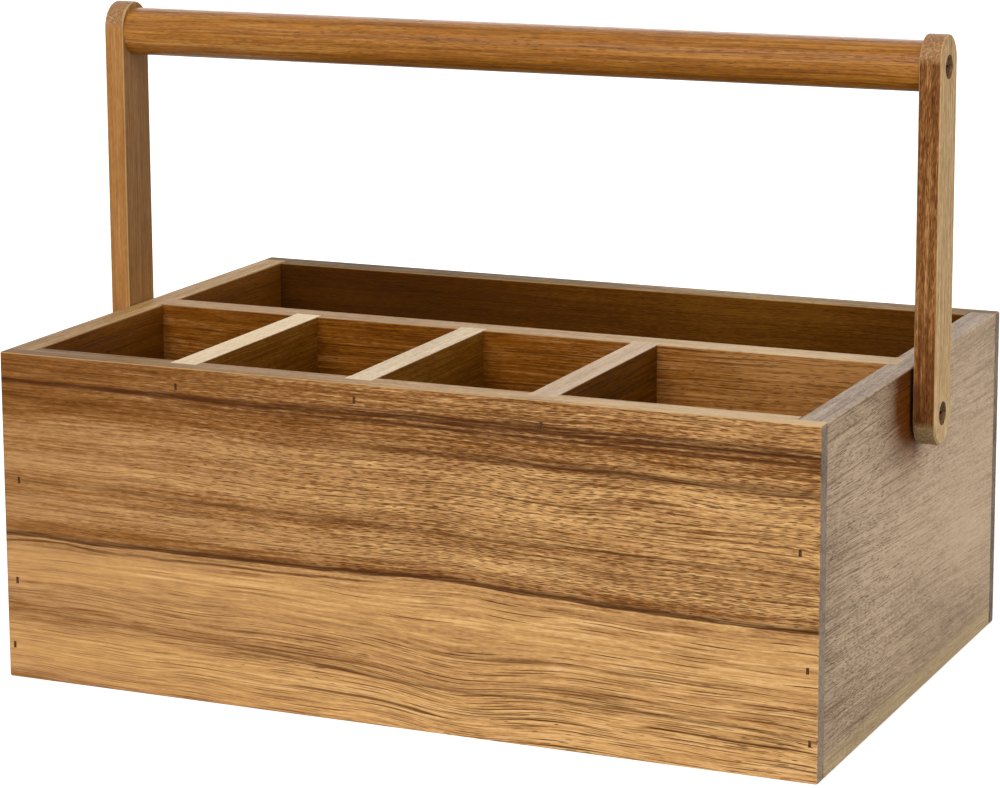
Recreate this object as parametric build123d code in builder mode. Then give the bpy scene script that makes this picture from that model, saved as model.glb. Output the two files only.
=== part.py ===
from build123d import *
import os

# Wooden utensil caddy: an open box with four short pockets in front of one long pocket, and
# a carrying handle that swings on a screw in each side board. Millimetres. The origin is on
# the table under the middle of the box; +X is to the right, +Y to the back, +Z up.

# ---- The boards ----
box_width = 330.0  # outside, left to right
box_depth = 224.0  # outside, front to back
box_height = 129.0
face_board = 12.0  # thickness of the front and back boards
side_board = 11.0
long_divider_board = 13.0
short_divider_board = 11.0
bottom_board = 5.0
edge_ease = 0.8  # radius sanded on the outer edges
divider_ease = 0.5  # the dividers' top edges are sharper

# ---- The pockets ----
long_divider_setback = 2.0  # middle of the long divider, behind the middle of the box
left_pocket = 59.7  # clear widths of the pockets, counted from the left
second_pocket = 62.0
third_pocket = 62.0

# ---- How the boards are let into each other ----
corner_lip = 6.5  # wood left outside the side board's end, on the front and back boards
bottom_lip_face = 5.5  # wood left outside the bottom board, on the front and back boards
bottom_lip_side = 5.5  # the same on the side boards
bottom_lift = 0.5  # the bottom board stays this far above the table
bottom_play = 0.25  # gap round the bottom board's edge
side_housing = 4.0  # depth of the groove that takes the long divider
front_housing = 5.0  # depth of the grooves that take the short dividers' front ends
back_housing = 4.0  # the same for their back ends

# ---- The handle ----
arm_width = 20.5
arm_thickness = 8.5
arm_end = 12.0  # from a hole's middle to the round end of the arm
hole_spacing = 129.5  # between the two holes of an arm
pivot_drop = 18.0  # pivot hole's middle, below the top of the box
dowel_diameter = 19.0
spacer_thickness = 1.2
spacer_diameter = 12.0
side_play = 0.1  # between a spacer and the arm that turns on it, and under the pivot's head

# ---- Screws ----
screw_diameter = 4.0
screw_play = 0.05  # round the shank, in every hole
screw_head_diameter = 8.0
screw_head_height = 2.4
screw_head_round = 0.9
screw_tip = 2.0  # length of the pointed end
cross_length = 4.4  # cross recess in the head
cross_width = 1.0
cross_depth = 1.2
counterbore_diameter = 9.0
counterbore_depth = 3.5
pivot_grip = 18.0  # length of the pivot screw in the side board and the long divider's end
dowel_grip = 20.0  # length of the handle screw inside the dowel
pilot_extra = 0.5  # each hole goes this much deeper than its screw

# ---- Brads ----
brad_length = 20.0
brad_shank = 1.0  # square section
brad_head_width = 1.2
brad_head_length = 2.6
brad_head_thickness = 0.8
brad_sink = 0.6  # each head is driven below the surface
bottom_brad_length = 15.0
# distance from the end of the board, and height above the table
front_left_brads = [(6.9, 79.0), (4.8, 39.0), (2.8, 13.0)]
front_right_brads = [(7.3, 83.0), (4.1, 41.0), (3.0, 14.6)]
back_end_brads = [(5.4, 81.0), (5.0, 40.0), (4.6, 14.0)]
# sideways from the divider's middle, and distance below the top edge
divider_brads = [(0.5, 7.4), (1.9, 6.4), (3.1, 9.2)]
bottom_side_brad_offset = 55.0  # on the side boards, before and behind the middle

# ---- Places worked out from the sizes above ----
half_width = box_width / 2
half_depth = box_depth / 2
side_inner_x = half_width - side_board
floor_z = bottom_lift + bottom_board
side_end_y = half_depth - corner_lip
face_inner_y = half_depth - face_board
divider_height = box_height - floor_z
long_divider_front_y = long_divider_setback - long_divider_board / 2
divider_front_end_y = -face_inner_y - front_housing
divider_back_end_y = long_divider_front_y + back_housing
divider_xs = [
    -side_inner_x + left_pocket + short_divider_board / 2,
    -side_inner_x + left_pocket + second_pocket + 1.5 * short_divider_board,
    -side_inner_x + left_pocket + second_pocket + third_pocket + 2.5 * short_divider_board,
]
pivot_z = box_height - pivot_drop
dowel_z = pivot_z + hole_spacing
arm_inner_x = half_width + spacer_thickness + side_play
arm_outer_x = arm_inner_x + arm_thickness
arm_web = arm_thickness - counterbore_depth
screw_hole_radius = screw_diameter / 2 + screw_play

# Working planes: each looks out of the face that it lies on.
front_face = Plane.XZ.offset(half_depth)
back_face = Plane(origin=(0, half_depth, 0), x_dir=(1, 0, 0), z_dir=(0, 1, 0))
underside = Plane(origin=(0, 0, bottom_lift), x_dir=(1, 0, 0), z_dir=(0, 0, -1))

front_corner_places = [(inset - half_width, height) for inset, height in front_left_brads]
front_corner_places += [(half_width - inset, height) for inset, height in front_right_brads]
divider_places = [
    (x + sideways, box_height - drop) for x, (sideways, drop) in zip(divider_xs, divider_brads)
]
# On the back face's own plane heights run downwards, so they carry a minus sign there.
back_corner_places = [(inset - half_width, -height) for inset, height in back_end_brads]
back_corner_places += [(half_width - inset, -height) for inset, height in back_end_brads]
face_shoulder_y = half_depth - (bottom_lip_face + face_board) / 2
side_shoulder_x = half_width - (bottom_lip_side + side_board) / 2
# Under the front and back boards a brad goes in at the middle of each short pocket.
last_wall_x = side_inner_x + short_divider_board / 2
wall_xs = [-last_wall_x, *divider_xs, last_wall_x]
pocket_xs = [(left + right) / 2 for left, right in zip(wall_xs, wall_xs[1:])]
bottom_places = [(x, y) for x in pocket_xs for y in (-face_shoulder_y, face_shoulder_y)]
bottom_places += [
    (x, y)
    for x in (-side_shoulder_x, side_shoulder_x)
    for y in (-bottom_side_brad_offset, bottom_side_brad_offset)
]

os.makedirs("parts", exist_ok=True)


def block(plane, low, high, height, mode=Mode.ADD):
    """A block on a plane, from one corner to the opposite one, in the part being built."""
    with BuildSketch(plane) as outline:
        with Locations(((low[0] + high[0]) / 2, (low[1] + high[1]) / 2)):
            Rectangle(high[0] - low[0], high[1] - low[1])
    extrude(outline.sketch, amount=height, mode=mode)


def drive_brads(face, places, length):
    """Brads driven straight in from a face, as solids in the part being built."""
    with BuildSketch(face.offset(-brad_sink)) as heads:
        with Locations(*places):
            Rectangle(brad_head_width, brad_head_length)
    extrude(heads.sketch, amount=-brad_head_thickness)
    with BuildSketch(face.offset(-brad_sink)) as shanks:
        with Locations(*places):
            Rectangle(brad_shank, brad_shank)
    extrude(shanks.sketch, amount=-length)


def cut_brad_holes(face, places, length):
    """The holes that the same brads leave in the part being built, open at the face."""
    with BuildSketch(face) as heads:
        with Locations(*places):
            Rectangle(brad_head_width, brad_head_length)
    extrude(heads.sketch, amount=-(brad_sink + brad_head_thickness), mode=Mode.SUBTRACT)
    with BuildSketch(face) as shanks:
        with Locations(*places):
            Rectangle(brad_shank, brad_shank)
    extrude(shanks.sketch, amount=-(brad_sink + length), mode=Mode.SUBTRACT)


def cut_corner_rebates(inner_y, toward_face):
    """Rebates for the side boards' ends and for the bottom board, in a face board."""
    corner_depth = toward_face * (face_board - corner_lip)
    bottom_depth = toward_face * (face_board - bottom_lip_face)
    low_y, high_y = sorted((inner_y, inner_y + corner_depth))
    for low_x, high_x in ((-half_width, -side_inner_x), (side_inner_x, half_width)):
        block(Plane.XY, (low_x, low_y), (high_x, high_y), box_height, Mode.SUBTRACT)
    low_y, high_y = sorted((inner_y, inner_y + bottom_depth))
    block(Plane.XY, (-half_width, low_y), (half_width, high_y), floor_z, Mode.SUBTRACT)


def cut_pivot_hole(outward):
    """The pivot screw's pilot hole, from one side of the box into the part being built."""
    with BuildSketch(Plane.YZ.offset(outward * half_width)) as hole:
        with Locations((0, pivot_z)):
            Circle(screw_hole_radius)
    extrude(hole.sketch, amount=-outward * (pivot_grip + pilot_extra), mode=Mode.SUBTRACT)


# ---- Front board: grooved for the three short dividers ----
with BuildPart() as front_panel:
    block(Plane.XY, (-half_width, -half_depth), (half_width, -face_inner_y), box_height)
    fillet(front_panel.edges(), edge_ease)
    cut_corner_rebates(-face_inner_y, -1)
    for divider_x in divider_xs:
        block(
            Plane.XY.offset(floor_z),
            (divider_x - short_divider_board / 2, divider_front_end_y),
            (divider_x + short_divider_board / 2, -face_inner_y),
            divider_height,
            Mode.SUBTRACT,
        )
    cut_brad_holes(front_face, front_corner_places + divider_places, brad_length)
    cut_brad_holes(underside, bottom_places, bottom_brad_length)
front_panel.part.label = "front_panel"
export_step(front_panel.part, "parts/front_panel.step")

# ---- Back board ----
with BuildPart() as back_panel:
    block(Plane.XY, (-half_width, face_inner_y), (half_width, half_depth), box_height)
    fillet(back_panel.edges(), edge_ease)
    cut_corner_rebates(face_inner_y, 1)
    cut_brad_holes(back_face, back_corner_places, brad_length)
    cut_brad_holes(underside, bottom_places, bottom_brad_length)
back_panel.part.label = "back_panel"
export_step(back_panel.part, "parts/back_panel.step")

# ---- Side boards: their ends lie in the corner rebates ----
for side, outward in (("left", -1), ("right", 1)):
    low_x, high_x = sorted((outward * side_inner_x, outward * half_width))
    housing_x = outward * (side_inner_x + side_housing)
    rebate_x = outward * (half_width - bottom_lip_side)
    with BuildPart() as side_panel:
        block(Plane.XY, (low_x, -side_end_y), (high_x, side_end_y), box_height)
        fillet(side_panel.edges().filter_by(Axis.Y), edge_ease)
        # groove for the long divider, from the floor to the top
        groove_low, groove_high = sorted((outward * side_inner_x, housing_x))
        block(
            Plane.XY.offset(floor_z),
            (groove_low, long_divider_front_y),
            (groove_high, long_divider_front_y + long_divider_board),
            divider_height,
            Mode.SUBTRACT,
        )
        # rebate for the bottom board
        rebate_low, rebate_high = sorted((outward * side_inner_x, rebate_x))
        block(
            Plane.XY,
            (rebate_low, -side_end_y),
            (rebate_high, side_end_y),
            floor_z,
            Mode.SUBTRACT,
        )
        cut_pivot_hole(outward)
        cut_brad_holes(front_face, front_corner_places, brad_length)
        cut_brad_holes(back_face, back_corner_places, brad_length)
        cut_brad_holes(underside, bottom_places, bottom_brad_length)
    side_panel.part.label = f"{side}_side_panel"
    export_step(side_panel.part, f"parts/{side}_side_panel.step")

# ---- Bottom board: let in from below ----
bottom_x = half_width - bottom_lip_side - bottom_play
bottom_y = half_depth - bottom_lip_face - bottom_play
with BuildPart() as bottom_panel:
    block(Plane.XY.offset(bottom_lift), (-bottom_x, -bottom_y), (bottom_x, bottom_y), bottom_board)
    cut_brad_holes(underside, bottom_places, bottom_brad_length)
bottom_panel.part.label = "bottom_panel"
export_step(bottom_panel.part, "parts/bottom_panel.step")

# ---- Long divider: eased between the side boards, square where it is housed ----
long_end_x = side_inner_x + side_housing
with BuildPart() as long_divider:
    block(
        Plane.XY.offset(floor_z),
        (-side_inner_x, long_divider_front_y),
        (side_inner_x, long_divider_front_y + long_divider_board),
        divider_height,
    )
    fillet(long_divider.edges().filter_by(Axis.X).group_by(Axis.Z)[-1], divider_ease)
    for low_x, high_x in ((-long_end_x, -side_inner_x), (side_inner_x, long_end_x)):
        block(
            Plane.XY.offset(floor_z),
            (low_x, long_divider_front_y),
            (high_x, long_divider_front_y + long_divider_board),
            divider_height,
        )
    for divider_x in divider_xs:
        block(
            Plane.XY.offset(floor_z),
            (divider_x - short_divider_board / 2, long_divider_front_y),
            (divider_x + short_divider_board / 2, divider_back_end_y),
            divider_height,
            Mode.SUBTRACT,
        )
    for outward in (-1, 1):
        cut_pivot_hole(outward)
long_divider.part.label = "long_divider"
export_step(long_divider.part, "parts/long_divider.step")

# ---- Short dividers: housed in the front board and in the long divider ----
for name, divider_x in zip(("left", "middle", "right"), divider_xs):
    low_x = divider_x - short_divider_board / 2
    high_x = divider_x + short_divider_board / 2
    with BuildPart() as divider:
        block(
            Plane.XY.offset(floor_z),
            (low_x, -face_inner_y),
            (high_x, long_divider_front_y),
            divider_height,
        )
        fillet(divider.edges().filter_by(Axis.Y).group_by(Axis.Z)[-1], divider_ease)
        for low_y, high_y in (
            (divider_front_end_y, -face_inner_y),
            (long_divider_front_y, divider_back_end_y),
        ):
            block(Plane.XY.offset(floor_z), (low_x, low_y), (high_x, high_y), divider_height)
        cut_brad_holes(front_face, divider_places, brad_length)
    divider.part.label = f"{name}_divider"
    export_step(divider.part, f"parts/{name}_divider.step")

# ---- Brads, grouped by where they are driven ----
with BuildPart() as front_corner_brads:
    drive_brads(front_face, front_corner_places, brad_length)
front_corner_brads.part.label = "front_corner_brads"
export_step(front_corner_brads.part, "parts/front_corner_brads.step")

with BuildPart() as divider_end_brads:
    drive_brads(front_face, divider_places, brad_length)
divider_end_brads.part.label = "divider_end_brads"
export_step(divider_end_brads.part, "parts/divider_end_brads.step")

with BuildPart() as back_corner_brads:
    drive_brads(back_face, back_corner_places, brad_length)
back_corner_brads.part.label = "back_corner_brads"
export_step(back_corner_brads.part, "parts/back_corner_brads.step")

with BuildPart() as bottom_brads:
    drive_brads(underside, bottom_places, bottom_brad_length)
bottom_brads.part.label = "bottom_brads"
export_step(bottom_brads.part, "parts/bottom_brads.step")

# ---- Handle arms: full-round ends, a counterbored hole near each end ----
arm_length = hole_spacing + 2 * arm_end
for side, outward in (("left", -1), ("right", 1)):
    with BuildPart() as arm:
        with BuildSketch(Plane.YZ.offset(outward * arm_inner_x)):
            with Locations((0, (pivot_z + dowel_z) / 2)):
                SlotOverall(arm_length, arm_width, rotation=90)
        extrude(amount=outward * arm_thickness)
        rim = arm.faces().filter_by(Axis.X)
        fillet(rim.edges(), edge_ease)
        with BuildSketch(Plane.YZ.offset(outward * arm_outer_x)):
            with Locations((0, pivot_z), (0, dowel_z)):
                Circle(counterbore_diameter / 2)
        extrude(amount=-outward * counterbore_depth, mode=Mode.SUBTRACT)
        with BuildSketch(Plane.YZ.offset(outward * arm_outer_x)):
            with Locations((0, pivot_z), (0, dowel_z)):
                Circle(screw_hole_radius)
        extrude(amount=-outward * arm_thickness, mode=Mode.SUBTRACT)
    arm.part.label = f"{side}_handle_arm"
    export_step(arm.part, f"parts/{side}_handle_arm.step")

# ---- Dowel: the round grip, screwed between the arms ----
with BuildPart() as handle_dowel:
    with BuildSketch(Plane.YZ.offset(-arm_inner_x)):
        with Locations((0, dowel_z)):
            Circle(dowel_diameter / 2)
    extrude(amount=2 * arm_inner_x)
    for outward in (-1, 1):
        with BuildSketch(Plane.YZ.offset(outward * arm_inner_x)):
            with Locations((0, dowel_z)):
                Circle(screw_hole_radius)
        extrude(amount=-outward * (dowel_grip + pilot_extra), mode=Mode.SUBTRACT)
handle_dowel.part.label = "handle_dowel"
export_step(handle_dowel.part, "parts/handle_dowel.step")

# ---- Spacers: washers that hold the arms off the side boards ----
for side, outward in (("left", -1), ("right", 1)):
    with BuildPart() as spacer:
        with BuildSketch(Plane.YZ.offset(outward * half_width)):
            with Locations((0, pivot_z)):
                Circle(spacer_diameter / 2)
                Circle(screw_hole_radius, mode=Mode.SUBTRACT)
        extrude(amount=outward * spacer_thickness)
    spacer.part.label = f"{side}_pivot_spacer"
    export_step(spacer.part, f"parts/{side}_pivot_spacer.step")

# ---- Screws: pan heads in the counterbores ----
seat_x = arm_outer_x - counterbore_depth
pivot_screw_length = side_play + arm_web + side_play + spacer_thickness + pivot_grip
dowel_screw_length = arm_web + dowel_grip
screws = []
for side, outward in (("left", -1), ("right", 1)):
    screws.append((f"{side}_pivot_screw", outward, pivot_z, seat_x + side_play, pivot_screw_length))
    screws.append((f"{side}_dowel_screw", outward, dowel_z, seat_x, dowel_screw_length))
for name, outward, screw_z, head_x, length in screws:
    under_head = Plane.YZ.offset(outward * head_x)
    with BuildPart() as screw:
        with BuildSketch(under_head):
            with Locations((0, screw_z)):
                Circle(screw_head_diameter / 2)
        extrude(amount=outward * screw_head_height)
        outer_face = screw.faces().sort_by(Axis.X)[-1 if outward > 0 else 0]
        fillet(outer_face.edges(), screw_head_round)
        with BuildSketch(under_head.offset(outward * screw_head_height)):
            with Locations((0, screw_z)):
                Rectangle(cross_length, cross_width)
                Rectangle(cross_width, cross_length)
        extrude(amount=-outward * cross_depth, mode=Mode.SUBTRACT)
        with BuildSketch(under_head):
            with Locations((0, screw_z)):
                Circle(screw_diameter / 2)
        extrude(amount=-outward * length)
        point = screw.faces().sort_by(Axis.X)[0 if outward > 0 else -1]
        chamfer(point.edges(), length=screw_tip, length2=0.7 * screw_diameter / 2)
    screw.part.label = name
    export_step(screw.part, f"parts/{name}.step")
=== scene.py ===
from math import radians

import bpy
from mathutils import Matrix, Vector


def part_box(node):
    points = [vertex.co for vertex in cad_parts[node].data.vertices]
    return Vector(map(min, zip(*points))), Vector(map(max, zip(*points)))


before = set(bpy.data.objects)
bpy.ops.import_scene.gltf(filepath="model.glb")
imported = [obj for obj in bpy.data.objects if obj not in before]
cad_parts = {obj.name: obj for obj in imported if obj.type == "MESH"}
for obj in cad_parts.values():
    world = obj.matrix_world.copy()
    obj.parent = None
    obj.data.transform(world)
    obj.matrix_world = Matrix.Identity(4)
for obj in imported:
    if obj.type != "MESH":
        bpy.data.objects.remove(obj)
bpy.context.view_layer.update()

# ---- Camera, light and floor ----
# The camera stands in front and to the right, higher than the handle, and looks slightly down.
# The light is soft: the main lamp is in front, and weaker ones are to the right and behind.
# The floor and the room round it are white.
camera_place = (0.5255, -1.1997, 0.3908)
camera_yaw, camera_pitch, camera_roll = 24.71, -10.68, 0.44
camera_data = bpy.data.cameras.new("camera")
camera_data.lens = 122.58
camera_data.sensor_width = 36.0
camera_data.shift_x = 0.05
camera_data.shift_y = -0.10
camera = bpy.data.objects.new("camera", camera_data)
camera.matrix_world = (
    Matrix.Translation(camera_place)
    @ Matrix.Rotation(radians(camera_yaw), 4, "Z")
    @ Matrix.Rotation(radians(camera_pitch), 4, "X")
    @ Matrix.Rotation(radians(camera_roll), 4, "Y")
    @ Matrix.Rotation(radians(90), 4, "X")
)
bpy.context.scene.collection.objects.link(camera)
bpy.context.scene.camera = camera
bpy.context.scene.view_settings.view_transform = "Standard"


def shader_node(tree, kind, sockets=None, **settings):
    """One shader node. Its sockets get a number, a colour or the output of another node."""
    made = tree.nodes.new("ShaderNode" + kind)
    for name, value in settings.items():
        setattr(made, name, value)
    for socket, value in (sockets or {}).items():
        if isinstance(value, bpy.types.NodeSocket):
            tree.links.new(value, made.inputs[socket])
        else:
            made.inputs[socket].default_value = value
    return made


def maths(tree, operation, first, second=0.0, third=0.0):
    """The result of one calculation."""
    numbers = {0: first, 1: second, 2: third}
    return shader_node(tree, "Math", numbers, operation=operation).outputs[0]


def soft_lamp(name, azimuth, elevation, strength, spread, colour):
    """A far lamp. Azimuth 0 shines from the front, 90 from the right; spread is how wide it looks."""
    lamp = bpy.data.lights.new(name, "SUN")
    lamp.energy = strength
    lamp.angle = radians(spread)
    lamp.color = colour
    holder = bpy.data.objects.new(name, lamp)
    holder.rotation_euler = (radians(90 - elevation), 0, radians(azimuth))
    bpy.context.scene.collection.objects.link(holder)


warm_white = (1.0, 0.99, 0.97)
cool_white = (0.97, 0.985, 1.0)
soft_lamp("front_lamp", azimuth=-8, elevation=32, strength=1.75, spread=30, colour=warm_white)
soft_lamp("right_lamp", azimuth=68, elevation=20, strength=1.3, spread=60, colour=cool_white)
soft_lamp("back_lamp", azimuth=188, elevation=30, strength=1.0, spread=50, colour=warm_white)

world = bpy.data.worlds.new("white_room")
world.use_nodes = True
room = world.node_tree
room.nodes.clear()
seen_ray = shader_node(room, "LightPath")
shown = maths(room, "MAXIMUM", seen_ray.outputs["Is Camera Ray"], seen_ray.outputs["Is Glossy Ray"])
shown = maths(room, "MAXIMUM", shown, seen_ray.outputs["Is Transmission Ray"])
# The air above gives less light than the walls round it: its strength sinks with height.
air_place = shader_node(room, "TexCoord")
air_split = shader_node(room, "SeparateXYZ", {0: air_place.outputs["Generated"]})
wall_light = 0.52
ceiling_light = 0.2
light_range = {"From Min": 0.0, "From Max": 0.8, "To Min": wall_light, "To Max": ceiling_light}
air_light = shader_node(room, "MapRange", {"Value": air_split.outputs[2], **light_range}, clamp=True)
strength = maths(room, "MAXIMUM", shown, air_light.outputs[0])
white_air = shader_node(room, "Background", {"Color": (1, 1, 1, 1), "Strength": strength})
shader_node(room, "OutputWorld", {"Surface": white_air.outputs[0]})
bpy.context.scene.world = world

floor_reach = 14.0
floor_corners = [(-floor_reach, -floor_reach), (floor_reach, -floor_reach)]
floor_corners += [(floor_reach, floor_reach), (-floor_reach, floor_reach)]
floor_mesh = bpy.data.meshes.new("floor")
floor_mesh.from_pydata([(x, y, 0) for x, y in floor_corners], [], [(0, 1, 2, 3)])
floor = bpy.data.objects.new("floor", floor_mesh)
bpy.context.scene.collection.objects.link(floor)

floor_finish = bpy.data.materials.new("white_floor")
floor_finish.use_nodes = True
floor_tree = floor_finish.node_tree
floor_tree.nodes.clear()
# To the camera the floor also glows, so that it shows white with a soft shadow on it.
floor_grey = 0.86
floor_glow = 0.62
floor_ray = shader_node(floor_tree, "LightPath")
floor_matt = shader_node(floor_tree, "BsdfDiffuse", {"Color": (floor_grey, floor_grey, floor_grey, 1)})
floor_white = shader_node(floor_tree, "Emission", {"Color": (1, 1, 1, 1), "Strength": floor_glow})
floor_seen = shader_node(floor_tree, "AddShader", {0: floor_matt.outputs[0], 1: floor_white.outputs[0]})
floor_mix = shader_node(
    floor_tree,
    "MixShader",
    {0: floor_ray.outputs["Is Camera Ray"], 1: floor_matt.outputs[0], 2: floor_seen.outputs[0]},
)
shader_node(floor_tree, "OutputMaterial", {"Surface": floor_mix.outputs[0]})
floor_mesh.materials.append(floor_finish)

# ---- Front board ----
# One plank of acacia, 12 mm thick, planed, sanded and oiled, with its grain along its length.
# It is nailed through its ends; its figure is drawn here line by line, over a finer grain.
millimetre = 0.001


def tone(red, green, blue):
    """A colour as a screen shows it, from 0 to 255, as the light values that a shader needs."""
    light = [c / 255 for c in (red, green, blue)]
    return [c / 12.92 if c <= 0.04045 else ((c + 0.055) / 1.055) ** 2.4 for c in light] + [1.0]


def three_tones(dark, middle, light, middle_at=0.5):
    """The stops of a wood's colours, given as a screen shows them, from dark grain to light."""
    return [(0.0, tone(*dark)), (middle_at, tone(*middle)), (1.0, tone(*light))]


def new_group(name, inputs, outputs):
    """An empty shader node group with its sockets, and its two end nodes."""
    group = bpy.data.node_groups.new(name, "ShaderNodeTree")
    for socket, kind in inputs.items():
        group.interface.new_socket(name=socket, in_out="INPUT", socket_type="NodeSocket" + kind)
    for socket, kind in outputs.items():
        group.interface.new_socket(name=socket, in_out="OUTPUT", socket_type="NodeSocket" + kind)
    start = group.nodes.new("NodeGroupInput")
    end = group.nodes.new("NodeGroupOutput")
    return group, start.outputs, end.inputs


def use_group(tree, group, sockets):
    """A node group placed in a material, with this material's own values."""
    return shader_node(tree, "Group", sockets, node_tree=group).outputs


def stretched_noise(tree, grain, along, across, detail, roughness=0.5):
    """Noise whose patches are about so many millimetres long and wide, along the grain."""
    if isinstance(across, bpy.types.NodeSocket):
        per_across = maths(tree, "DIVIDE", 1.0, across)
        per_along = maths(tree, "DIVIDE", 1.0, along)
        scale = shader_node(tree, "CombineXYZ", {0: per_along, 1: per_across, 2: per_across}).outputs[0]
    else:
        scale = (1 / along, 1 / across, 1 / across)
    grid = shader_node(tree, "VectorMath", {0: grain, 1: scale}, operation="MULTIPLY")
    sockets = {"Vector": grid.outputs[0], "Scale": 1.0, "Detail": detail, "Roughness": roughness}
    return shader_node(tree, "TexNoise", sockets).outputs["Fac"]


def mapped(tree, value, low, high, to_low=0.0, to_high=1.0):
    """The value carried from one range to another, and kept inside it."""
    sockets = {"Value": value, "From Min": low, "From Max": high, "To Min": to_low, "To Max": to_high}
    return shader_node(tree, "MapRange", sockets, clamp=True).outputs[0]


def joined(tree, along, across, through):
    """Three numbers as one place."""
    return shader_node(tree, "CombineXYZ", {0: along, 1: across, 2: through}).outputs[0]


def swing(tree, value, size, onto):
    """A value that lies about 0.5 made a swing of some size, added to another."""
    return maths(tree, "MULTIPLY_ADD", maths(tree, "SUBTRACT", value, 0.5), size, onto)


# grain_place: where a point lies in its plank, in millimetres along, across and through the
# grain, with the slow waves that the grain lines make. Each seed takes the grain from another
# place, far off in the same log.
grain_place, start, end = new_group(
    "grain_place",
    {"Place": "Vector", "Seed": "Float", "Wave Height": "Float", "Wave Length": "Float"},
    {"Grain": "Vector"},
)
seed_step = (713.0, 291.0, 157.0)
shift = joined(grain_place, *[maths(grain_place, "MULTIPLY", start["Seed"], step) for step in seed_step])
moved = shader_node(grain_place, "VectorMath", {0: start["Place"], 1: shift}, operation="ADD")
wave_slimness = 0.45
wave_width = maths(grain_place, "MULTIPLY", start["Wave Length"], wave_slimness)
wave = stretched_noise(grain_place, moved.outputs[0], start["Wave Length"], wave_width, 1.0)
rise = maths(grain_place, "MULTIPLY", maths(grain_place, "SUBTRACT", wave, 0.5), start["Wave Height"])
lift = joined(grain_place, 0.0, rise, rise)
waved = shader_node(grain_place, "VectorMath", {0: moved.outputs[0], 1: lift}, operation="ADD")
grain_place.links.new(waved.outputs[0], end["Grain"])

# wood_dashes: thin dark marks along the grain, laid in rows. Each has its own length, thickness,
# slant and pointed ends. Open pores are short and lie close, mineral streaks are long and lie
# apart. Length and Width are the room of one mark and Thickness is its own, in millimetres.
wood_dashes, start, end = new_group(
    "wood_dashes",
    {"Grain": "Vector", "Length": "Float", "Width": "Float", "Thickness": "Float", "Density": "Float"},
    {"Dashes": "Float"},
)
grain_axes = shader_node(wood_dashes, "SeparateXYZ", {0: start["Grain"]}).outputs
# The third direction is laid over the second, so that the edges of a board have marks too.
third_over_second = 0.83
both_ways = maths(wood_dashes, "MULTIPLY_ADD", grain_axes[2], third_over_second, grain_axes[1])
row_place = maths(wood_dashes, "DIVIDE", both_ways, start["Width"])
row = maths(wood_dashes, "FLOOR", row_place)
# Each row begins somewhere else, and each mark in it draws three chances of its own.
furthest_start = 37.0
row_noise = shader_node(wood_dashes, "TexWhiteNoise", {"W": row}, noise_dimensions="1D")
mark_place = maths(wood_dashes, "DIVIDE", grain_axes[0], start["Length"])
mark_place = maths(wood_dashes, "MULTIPLY_ADD", row_noise.outputs["Value"], furthest_start, mark_place)
mark_cell = joined(wood_dashes, maths(wood_dashes, "FLOOR", mark_place), row, 0.0)
cell_noise = shader_node(wood_dashes, "TexWhiteNoise", {"Vector": mark_cell}, noise_dimensions="2D")
chance = shader_node(wood_dashes, "SeparateColor", {0: cell_noise.outputs["Color"]}).outputs
# A mark tapers both ways from the middle of its room, by these shares of the room's length.
shortest_half, longest_half = 0.14, 0.48
past = maths(wood_dashes, "SUBTRACT", maths(wood_dashes, "FRACT", mark_place), 0.5)
half_length = mapped(wood_dashes, chance[0], 0.0, 1.0, shortest_half, longest_half)
to_end = maths(wood_dashes, "DIVIDE", past, half_length)
taper = maths(wood_dashes, "SUBTRACT", 1.0, maths(wood_dashes, "MULTIPLY", to_end, to_end))
# It lies a little off the middle of its row and slants, by these shares of the row's width.
most_aside, most_slant = -0.4, -0.9
aside = maths(wood_dashes, "SUBTRACT", maths(wood_dashes, "FRACT", row_place), 0.5)
aside = swing(wood_dashes, chance[1], most_aside, aside)
slant = maths(wood_dashes, "MULTIPLY", past, maths(wood_dashes, "SUBTRACT", chance[2], 0.5))
aside = maths(wood_dashes, "ABSOLUTE", maths(wood_dashes, "MULTIPLY_ADD", slant, most_slant, aside))
# Some marks are thinner and some thicker, and each is darkest in its core.
thinnest, thickest = 0.6, 1.4
core = 0.3
row_share = maths(wood_dashes, "DIVIDE", start["Thickness"], start["Width"])
half_thick = maths(wood_dashes, "MULTIPLY", row_share, 0.5)
own_share = mapped(wood_dashes, chance[2], 0.0, 1.0, thinnest, thickest)
half_thick = maths(wood_dashes, "MULTIPLY", half_thick, own_share)
half_thick = maths(wood_dashes, "MULTIPLY", half_thick, maths(wood_dashes, "MAXIMUM", taper, 0.0))
dash = mapped(wood_dashes, aside, half_thick, maths(wood_dashes, "MULTIPLY", half_thick, core))
# Where the density is low, rooms stay empty: one more chance, made from an old one, says which.
chance_stretch = 91.7
soft_limit = 0.3
last_chance = maths(wood_dashes, "FRACT", maths(wood_dashes, "MULTIPLY", chance[1], chance_stretch))
room_to_spare = maths(wood_dashes, "SUBTRACT", start["Density"], last_chance)
kept = mapped(wood_dashes, room_to_spare, 0.0, soft_limit)
wood_dashes.links.new(maths(wood_dashes, "MULTIPLY", dash, kept), end["Dashes"])

# wood_tone: what makes acacia lighter or darker, each about 0.5: growth bands, fine fibres,
# short flecks, a shimmer across the grain and wide clouds. Lines are 1 on hair-thin dark lines.
wood_tone, start, end = new_group(
    "wood_tone",
    {"Grain": "Vector", "Band Width": "Float", "Fibre Width": "Float"},
    dict.fromkeys(("Bands", "Fibres", "Flecks", "Shimmer", "Clouds", "Lines"), "Float"),
)
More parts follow.
